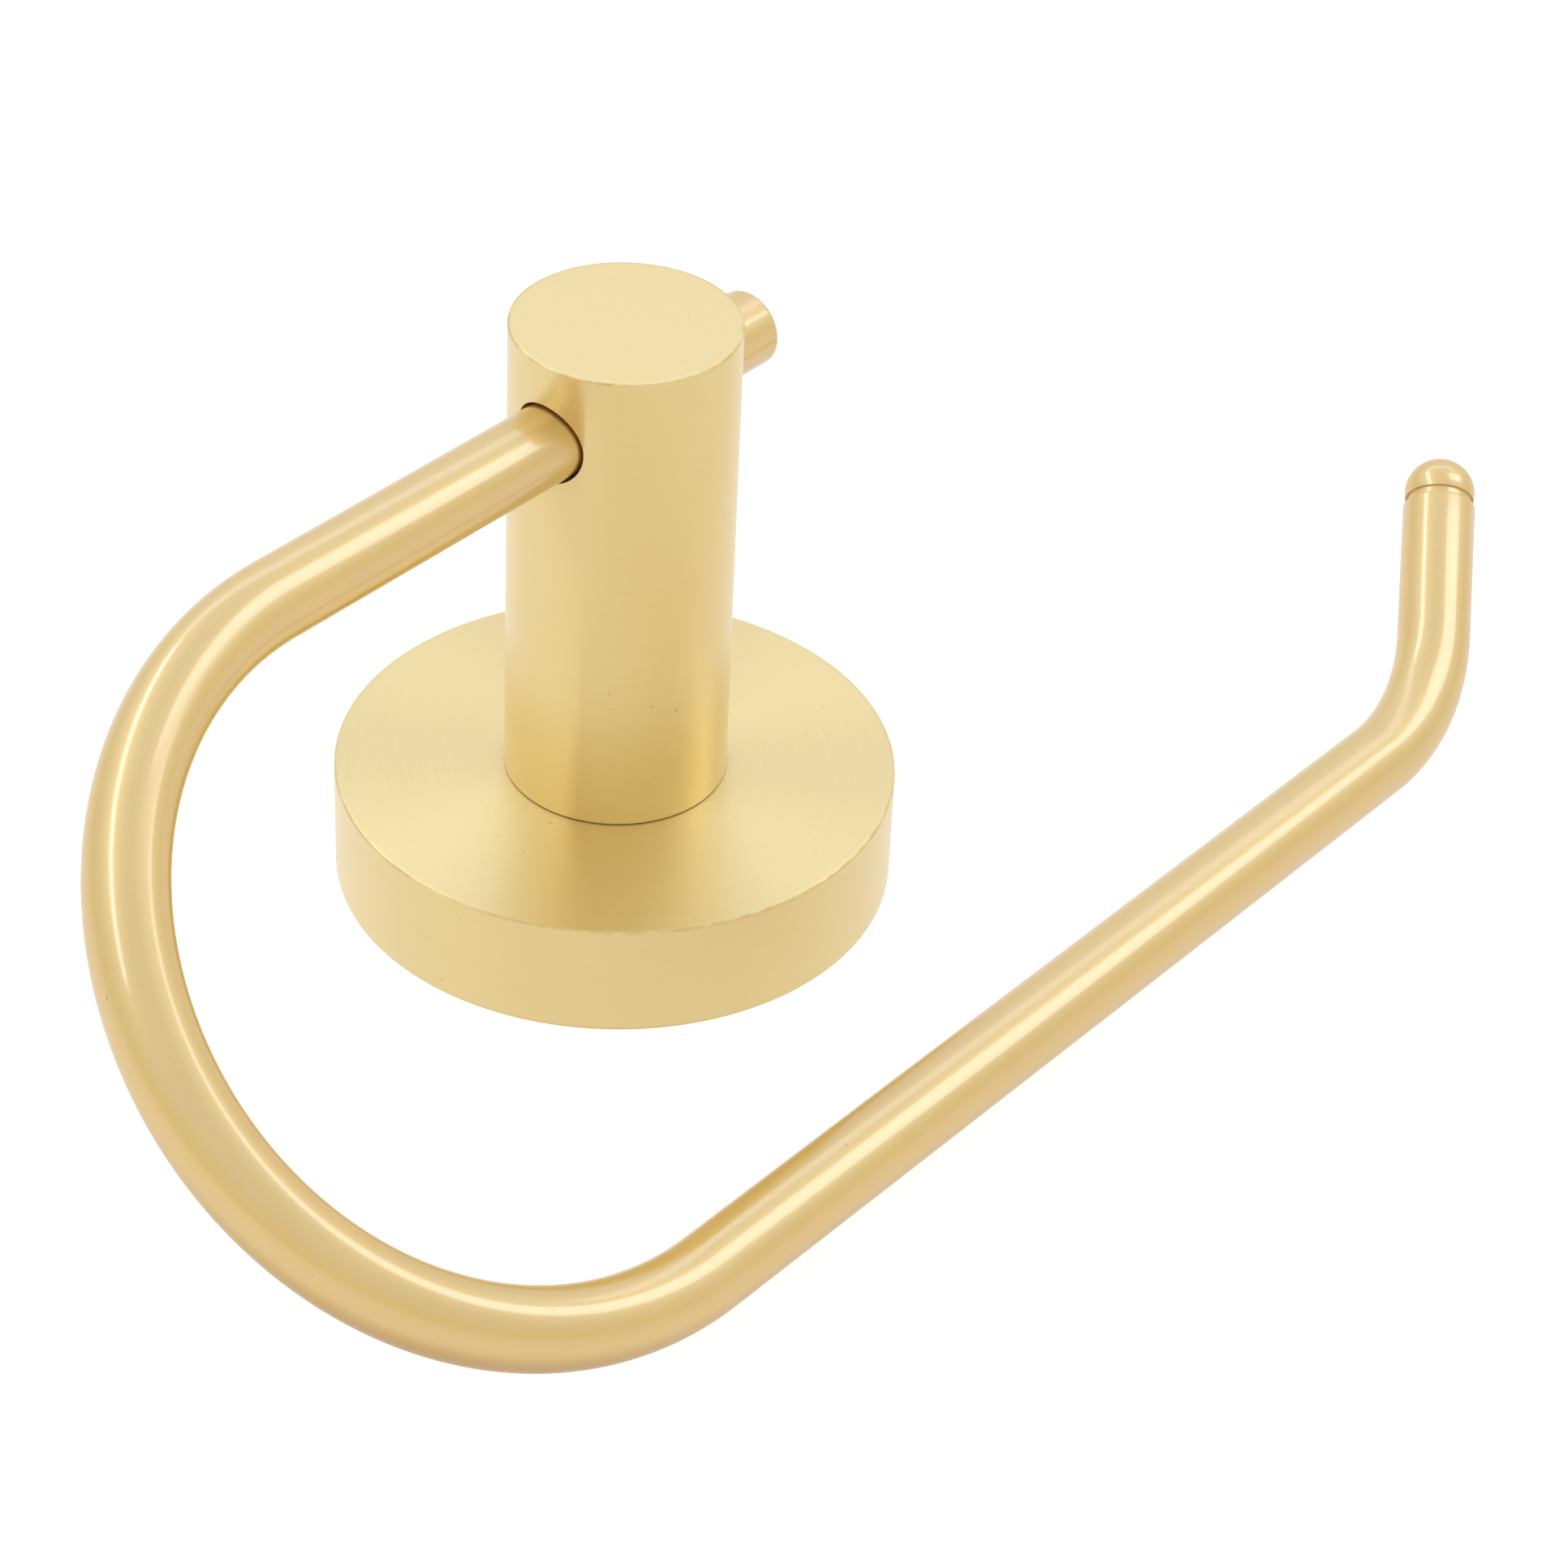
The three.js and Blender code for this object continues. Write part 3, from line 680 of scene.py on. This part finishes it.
def make_hanger_rod():
    shape = bmesh.new()
    facing = Matrix.Translation((ROD_SHORT_END, 0, 0)) @ Matrix.Rotation(math.radians(90), 4, "Y")
    bmesh.ops.create_circle(shape, cap_ends=True, segments=ROD_STEPS, radius=ROD_RADIUS, matrix=facing)
    ring = shape.edges[:]

    def draw_out(edges, way):
        grown = bmesh.ops.extrude_edge_only(shape, edges=edges)["geom"]
        bmesh.ops.translate(shape, verts=[v for v in grown if isinstance(v, bmesh.types.BMVert)], vec=way)
        return [e for e in grown if isinstance(e, bmesh.types.BMEdge)]

    def bend(edges, centre, angle, steps):
        corners = list({v for e in edges for v in e.verts})
        made = bmesh.ops.spin(shape, geom=corners + edges, cent=centre, axis=(0, 0, 1), dvec=(0, 0, 0),
                              angle=angle, steps=steps, use_merge=False, use_duplicate=False)
        return [e for e in made["geom_last"] if isinstance(e, bmesh.types.BMEdge)]

    def at_short_end(a, b):
        return min(a.x, b.x) > ROD_SHORT_END - WELD and a.y > -ROD_LEAD

    ring = draw_out(ring, (-ROD_SHORT_END - ROD_LEAD, 0, 0))
    ring = bend(ring, (-ROD_LEAD, -BEND_RADIUS, 0), math.pi, HALF_TURN_STEPS)
    ring = draw_out(ring, (ARM_LENGTH, 0, 0))
    ring = bend(ring, tip_bend_centre, TIP_BEND, TIP_BEND_STEPS)
    ring = draw_out(ring, TIP_STRAIGHT * tip_way)
    bmesh.ops.edgeloop_fill(shape, edges=ring)
    bmesh.ops.recalc_face_normals(shape, faces=shape.faces[:])
    round_edges(shape, SHORT_END_ROUND, at_short_end, segments=5)
    round_edges(shape, TIP_END_ROUND, lambda a, b: min(a.x, b.x) > arm_end)
    bore_end = rod_end - (TIP_PLUG_LENGTH + TIP_FIT) * tip_way
    shape = carve(shape, rod_shape(TIP_PLUG_RADIUS + TIP_FIT, bore_end, rod_end + MM * tip_way))
    mark_bar_place(shape, bar_place)
    bmesh.ops.transform(shape, matrix=hook_place, verts=shape.verts[:])
    piece = finish_piece("bent_rod", shape, satin_rod_brass, "hook", ROD_SHARP_ABOVE)
    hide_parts("hanger_rod")


make_hanger_rod()

# --- Ball tip -------------------------------------------------------------------------------------
# Small turned ball that closes the rod's open end. Its neck leaves a fine groove, and its plug is
# pressed into the rod.

BALL_RADIUS = 3.9 * MM
GROOVE_WIDTH = 0.9 * MM
GROOVE_DEPTH = 0.45 * MM
BALL_CENTRE_ABOVE_GROOVE = 0.95 * MM
NECK_GAP = 0.1 * MM
BALL_STEPS = 40
BALL_ROUND_STEPS = 96


def make_ball_tip():
    centre = GROOVE_WIDTH + BALL_CENTRE_ABOVE_GROOVE
    lowest = -math.asin(BALL_CENTRE_ABOVE_GROOVE / BALL_RADIUS)
    neck = ROD_RADIUS - GROOVE_DEPTH
    outline = [(0, -TIP_PLUG_LENGTH), (TIP_PLUG_RADIUS, -TIP_PLUG_LENGTH), (TIP_PLUG_RADIUS, NECK_GAP),
               (neck, NECK_GAP), (neck, GROOVE_WIDTH)]
    for i in range(BALL_STEPS):
        angle = lowest + (math.pi / 2 - lowest) * i / BALL_STEPS
        outline.append((BALL_RADIUS * math.cos(angle), centre + BALL_RADIUS * math.sin(angle)))
    outline.append((0, centre + BALL_RADIUS))
    ball = turned(outline, BALL_ROUND_STEPS)
    mark_bar_place(ball, lambda co: (co.z, co.x, co.y))
    facing = tip_way.to_track_quat("Z", "Y").to_matrix().to_4x4()
    bmesh.ops.transform(ball, matrix=hook_place @ Matrix.Translation(rod_end) @ facing, verts=ball.verts[:])
    piece = finish_piece("ball_end", ball, satin_rod_brass, "hook", ROD_SHARP_ABOVE)
    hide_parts("ball_tip")


make_ball_tip()

# --- Post screw and its washers -------------------------------------------------------------------
# Stainless M6 button-head screw that pulls the post down on the rosette's face from inside the cup,
# over a flat washer and a split spring washer. Only the open back shows them.

FLAT_WASHER_RADIUS = 9 * MM
WASHER_BORE_RADIUS = 3.3 * MM
WASHER_EDGE_ROUND = 0.12 * MM
SPRING_WASHER_SPLIT = 0.8 * MM
SPRING_SPLIT_SLANT = math.radians(12)
SCREW_RADIUS = 3 * MM
SCREW_PITCH = 1 * MM
SCREW_HEAD_HEIGHT = 3.3 * MM
SCREW_CROWN_RADIUS = 3.3 * MM
SCREW_CROWN_HEIGHT = 1.8 * MM
SCREW_CROWN_STEPS = 8
SCREW_KEY = 4 * MM
SCREW_KEY_DEPTH = 2 * MM
SCREW_TIP_BEVEL = 0.6 * MM
THREAD_DEPTH_PER_PITCH = 0.6
THREAD_CREST = (0.45, 0.55)
STEEL_DULL = "#B4B3AF"
STEEL_BRIGHT = "#D2D0CB"
STEEL_ROUGHNESS = (0.24, 0.4)
MOTTLES_PER_METRE = 900.0
TOOL_MARKS_PER_METRE = 4000.0
TOOL_MARK_DEPTH = 0.003 * MM


def stainless_steel():
    """Bright-drawn stainless steel: pale grey, with a slight mottle and fine marks from the tools."""
    material, tree, out = new_material("stainless steel")
    place = add_node(tree, "ShaderNodeTexCoord").outputs["Object"]
    mottle = add_node(tree, "ShaderNodeTexNoise", {
        "Vector": place, "Scale": MOTTLES_PER_METRE, "Detail": 4.0})
    marks = add_node(tree, "ShaderNodeTexNoise", {
        "Vector": place, "Scale": TOOL_MARKS_PER_METRE, "Detail": 2.0})
    tone = add_node(tree, "ShaderNodeMix", {
        "Factor": mottle.outputs["Fac"], "A": linear(STEEL_DULL), "B": linear(STEEL_BRIGHT)},
        data_type="RGBA")
    rough = add_node(tree, "ShaderNodeMapRange", {
        "Value": mottle.outputs["Fac"], "To Min": STEEL_ROUGHNESS[0], "To Max": STEEL_ROUGHNESS[1]})
    relief = add_node(tree, "ShaderNodeBump", {
        "Height": marks.outputs["Fac"], "Strength": 1.0, "Distance": TOOL_MARK_DEPTH})
    metal = add_node(tree, "ShaderNodeBsdfPrincipled", {
        "Base Color": tone.outputs["Result"], "Metallic": 1.0, "Roughness": rough.outputs["Result"],
        "Normal": relief.outputs[0]})
    tree.links.new(metal.outputs[0], out.inputs["Surface"])
    return material


screw_steel = stainless_steel()


def washer_shape(outer, low, high):
    shape = turned([(WASHER_BORE_RADIUS, low), (outer, low), (outer, high), (WASHER_BORE_RADIUS, high)])
    round_edges(shape, WASHER_EDGE_ROUND, lambda a, b: True)
    return shape


def thread_ridges(radius, low, high, pitch):
    """The outline of a screw thread between two heights. Its ridges are drawn as rings."""
    root = radius - THREAD_DEPTH_PER_PITCH * pitch
    outline = [(root, low)]
    for i in range(int((high - low) / pitch)):
        start = low + i * pitch
        outline += [(radius, start + crest * pitch) for crest in THREAD_CREST] + [(root, start + pitch)]
    return outline


def hex_key_hole(across_flats, low, high):
    return rod_shape(across_flats / 2 / math.cos(math.radians(30)), (0, 0, low), (0, 0, high), 6)


def make_washers():
    low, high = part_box("flat_washer")
    washer = washer_shape(FLAT_WASHER_RADIUS, low.z, high.z)
    piece = finish_piece("flat_washer_disc", washer, screw_steel, "holder")
    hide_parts("flat_washer")
    low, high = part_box("spring_washer")
    washer = washer_shape(high.y, low.z, high.z)
    split = bmesh.new()
    bmesh.ops.create_cube(split, size=1.0, matrix=Matrix.Translation((high.y, 0, (low.z + high.z) / 2))
                          @ Matrix.Rotation(SPRING_SPLIT_SLANT, 4, "X")
                          @ Matrix.Diagonal((high.y * 2, SPRING_WASHER_SPLIT, high.y, 1)))
    washer = carve(washer, split)
    piece = finish_piece("split_washer", washer, screw_steel, "holder")
    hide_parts("spring_washer")


def make_post_screw():
    low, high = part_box("post_screw")
    head = high.x
    dome = []
    for i in range(SCREW_CROWN_STEPS + 1):
        angle = math.pi / 2 * i / SCREW_CROWN_STEPS
        dome.append((SCREW_CROWN_RADIUS + (head - SCREW_CROWN_RADIUS) * math.sin(angle),
                     low.z + SCREW_CROWN_HEIGHT * (1 - math.cos(angle))))
    under_head = low.z + SCREW_HEAD_HEIGHT
    tip = high.z - SCREW_TIP_BEVEL
    ridges = thread_ridges(SCREW_RADIUS, under_head, tip, SCREW_PITCH)
    screw = turned([(0, low.z), *dome, (head, under_head), *ridges, (ridges[-1][0], high.z), (0, high.z)])
    screw = carve(screw, hex_key_hole(SCREW_KEY, low.z - MM, low.z + SCREW_KEY_DEPTH))
    piece = finish_piece("button_head_screw", screw, screw_steel, "holder")
    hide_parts("post_screw")


make_washers()
make_post_screw()

# --- Grub screws ----------------------------------------------------------------------------------
# Two stainless M4 grub screws on the underside: one holds the rosette on the bracket's flat, and the
# other clamps the rod in the post. Each turns with a 2 mm hex key and ends in a blunt point.

GRUB_RADIUS = 2 * MM
GRUB_PITCH = 0.7 * MM
GRUB_POINT_LENGTH = 1 * MM
GRUB_KEY = 2 * MM
GRUB_STEPS = 128


def make_grub_screw(name, node, body):
    low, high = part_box(node)
    length = high.y - low.y
    ridges = thread_ridges(GRUB_RADIUS, GRUB_POINT_LENGTH, length, GRUB_PITCH)
    screw = turned([
        (0, 0), (GRUB_RADIUS - GRUB_POINT_LENGTH, 0), *ridges, (ridges[-1][0], length), (0, length)],
        GRUB_STEPS)
    screw = carve(screw, hex_key_hole(GRUB_KEY, length - GRUB_KEY, length + MM))
    along_y = Matrix.Rotation(math.radians(-90), 4, "X")
    place = Matrix.Translation((0, low.y, (low.z + high.z) / 2)) @ along_y
    bmesh.ops.transform(screw, matrix=place, verts=screw.verts[:])
    piece = finish_piece(name, screw, screw_steel, body)
    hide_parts(node)


make_grub_screw("rosette_clamp_screw", "rosette_grub_screw", "rosette_screw")
make_grub_screw("rod_clamp_screw", "rod_grub_screw", "rod_screw")
